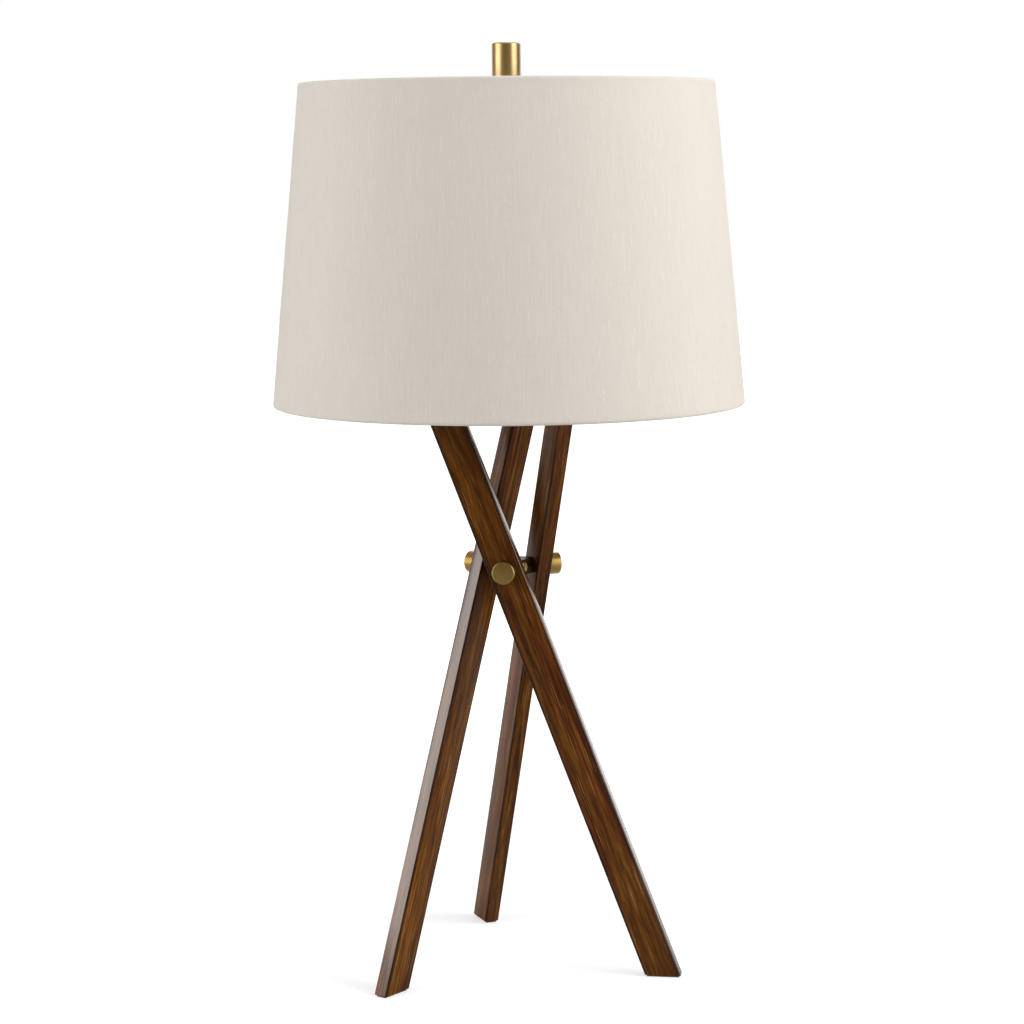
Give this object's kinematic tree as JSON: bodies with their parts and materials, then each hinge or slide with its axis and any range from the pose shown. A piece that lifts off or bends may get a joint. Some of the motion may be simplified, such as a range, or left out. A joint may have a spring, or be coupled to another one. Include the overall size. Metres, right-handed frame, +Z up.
{
  "type": "tripod table lamp",
  "caption": "Table lamp on crossed flat wooden legs that twist past each other at a bolted hub, with a tapered linen drum shade, harp, lampholder and bulb.",
  "frame": {"origin": "on the table, under the middle of the lamp's overall box at its base (the shade's axis)", "axes": "+Z up, -Y towards the front that the picture shows, +X to the viewer's right"},
  "size_m": [0.3804, 0.3805, 0.754],
  "materials": {
    "walnut": "dark walnut stain, satin lacquer",
    "satin_brass": "satin",
    "plated_brass": "bright, thinly plated",
    "contact_brass": "plain",
    "zinc_steel": "zinc plated",
    "dark_paint": "satin dark brown paint",
    "black_plastic": "moulded",
    "fibre_card": "pressed fibre",
    "bulb_metal": "bright",
    "black_glass": "opaque black glass",
    "frosted_glass": "frosted",
    "linen": "natural off-white linen weave",
    "white_backing": "white styrene sheet",
    "white_wire": "white paint",
    "felt": "brown felt"
  },
  "bodies": {
    "stand": {"leg_front": "walnut", "leg_left": "walnut", "leg_right": "walnut", "foot_pad_front": "felt", "foot_pad_left": "felt", "foot_pad_right": "felt", "crossing_hub": "walnut", "cross_bolts": "zinc_steel", "cross_cap_front": "satin_brass", "cross_cap_left": "satin_brass", "cross_cap_right": "satin_brass", "hub_lock_screws": "satin_brass", "top_plate": "dark_paint", "plate_screws": "zinc_steel", "nipple": "zinc_steel", "lock_washer": "zinc_steel", "lower_nut": "zinc_steel", "upper_nut": "zinc_steel", "cord_bushing": "black_plastic", "harp_saddle": "plated_brass", "socket_cap": "plated_brass", "cap_set_screw": "zinc_steel", "socket_shell": "plated_brass", "socket_liner": "fibre_card", "socket_core": "black_plastic", "live_terminal_screw": "contact_brass", "neutral_terminal_screw": "zinc_steel", "screw_shell": "contact_brass", "centre_contact": "contact_brass", "switch_leaf": "contact_brass"},
    "switch": {"switch_spindle": "zinc_steel", "switch_key": "black_plastic", "switch_cam": "black_plastic"},
    "bulb_rise": {"bulb_tip_contact": "bulb_metal"},
    "bulb": {"bulb_insulator": "black_glass", "bulb_base": "bulb_metal", "bulb_glass": "frosted_glass"},
    "harp": {"harp": "plated_brass", "harp_stud": "plated_brass"},
    "ferrule_left": {"harp_ferrule_left": "plated_brass"},
    "ferrule_right": {"harp_ferrule_right": "plated_brass"},
    "shade": {"shade_cover": "linen", "shade_backing": "white_backing", "shade_top_trim": "linen", "shade_bottom_trim": "linen", "shade_top_ring": "white_wire", "shade_bottom_ring": "white_wire", "shade_washer": "plated_brass", "shade_arms": "plated_brass"},
    "finial_rise": {"finial_insert": "contact_brass"},
    "finial": {"finial": "satin_brass"}
  },
  "joints": [
    {"name": "switch_turn", "type": "hinge", "parent": "stand", "child": "switch", "pos_m": [0, 0, 0.5292], "axis": [0, -1, 0], "continuous": true},
    {"name": "bulb_climb", "type": "slide", "parent": "stand", "child": "bulb_rise", "axis": [0, 0, 1], "range_m": [0, 0.015]},
    {"name": "bulb_turn", "type": "hinge", "parent": "bulb_rise", "child": "bulb", "pos_m": [0, 0, 0.55], "axis": [0, 0, 1], "range_deg": [0, 1440]},
    {"name": "harp_lift", "type": "slide", "parent": "stand", "child": "harp", "axis": [0, 0, 1], "range_m": [0, 0.2]},
    {"name": "ferrule_left_slide", "type": "slide", "parent": "harp", "child": "ferrule_left", "axis": [0, 0, 1], "range_m": [0, 0.016]},
    {"name": "ferrule_right_slide", "type": "slide", "parent": "harp", "child": "ferrule_right", "axis": [0, 0, 1], "range_m": [0, 0.016]},
    {"name": "shade_turn", "type": "hinge", "parent": "harp", "child": "shade", "pos_m": [0, 0, 0.7], "axis": [0, 0, 1], "continuous": true},
    {"name": "finial_climb", "type": "slide", "parent": "harp", "child": "finial_rise", "axis": [0, 0, 1], "range_m": [0, 0.0105]},
    {"name": "finial_turn", "type": "hinge", "parent": "finial_rise", "child": "finial", "pos_m": [0, 0, 0.73], "axis": [0, 0, 1], "range_deg": [0, 3960]}
  ],
  "couplings": [
    {"joint": "bulb_climb", "follows": "bulb_turn", "m_per_rad": 0.00057757},
    {"joint": "finial_climb", "follows": "finial_turn", "m_per_rad": 0.00014972}
  ]
}
